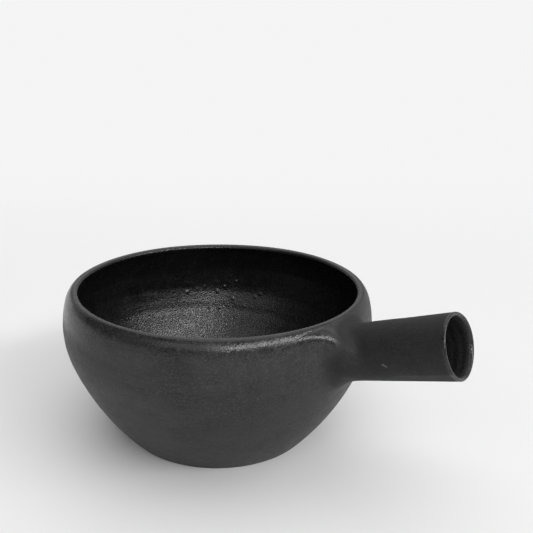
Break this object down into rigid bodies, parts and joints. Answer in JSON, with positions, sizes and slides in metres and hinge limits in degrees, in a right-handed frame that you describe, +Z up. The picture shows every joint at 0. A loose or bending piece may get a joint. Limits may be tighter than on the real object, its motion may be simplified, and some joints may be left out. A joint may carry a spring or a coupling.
{
  "type": "single-handle donabe",
  "caption": "Open dark stoneware bowl with an incurved rounded rim, a trimmed flat foot and a hollow, flaring side handle that tilts up and is blended into the shoulder.",
  "frame": {"origin": "middle of the foot ring, on the bowl's axis, in the plane that the bowl stands on", "axes": "+Z up along the bowl's axis; +X out over the handle; +Y completes the right hand"},
  "size_m": [0.2566, 0.19, 0.1103],
  "materials": {
    "thrown_clay": "fine sandy matte with a dull sheen",
    "slip": "smooth matte"
  },
  "bodies": {
    "root": {"bowl": "thrown_clay", "handle": "thrown_clay", "luting_slip": "slip", "joint_fillet": "thrown_clay"}
  },
  "joints": []
}
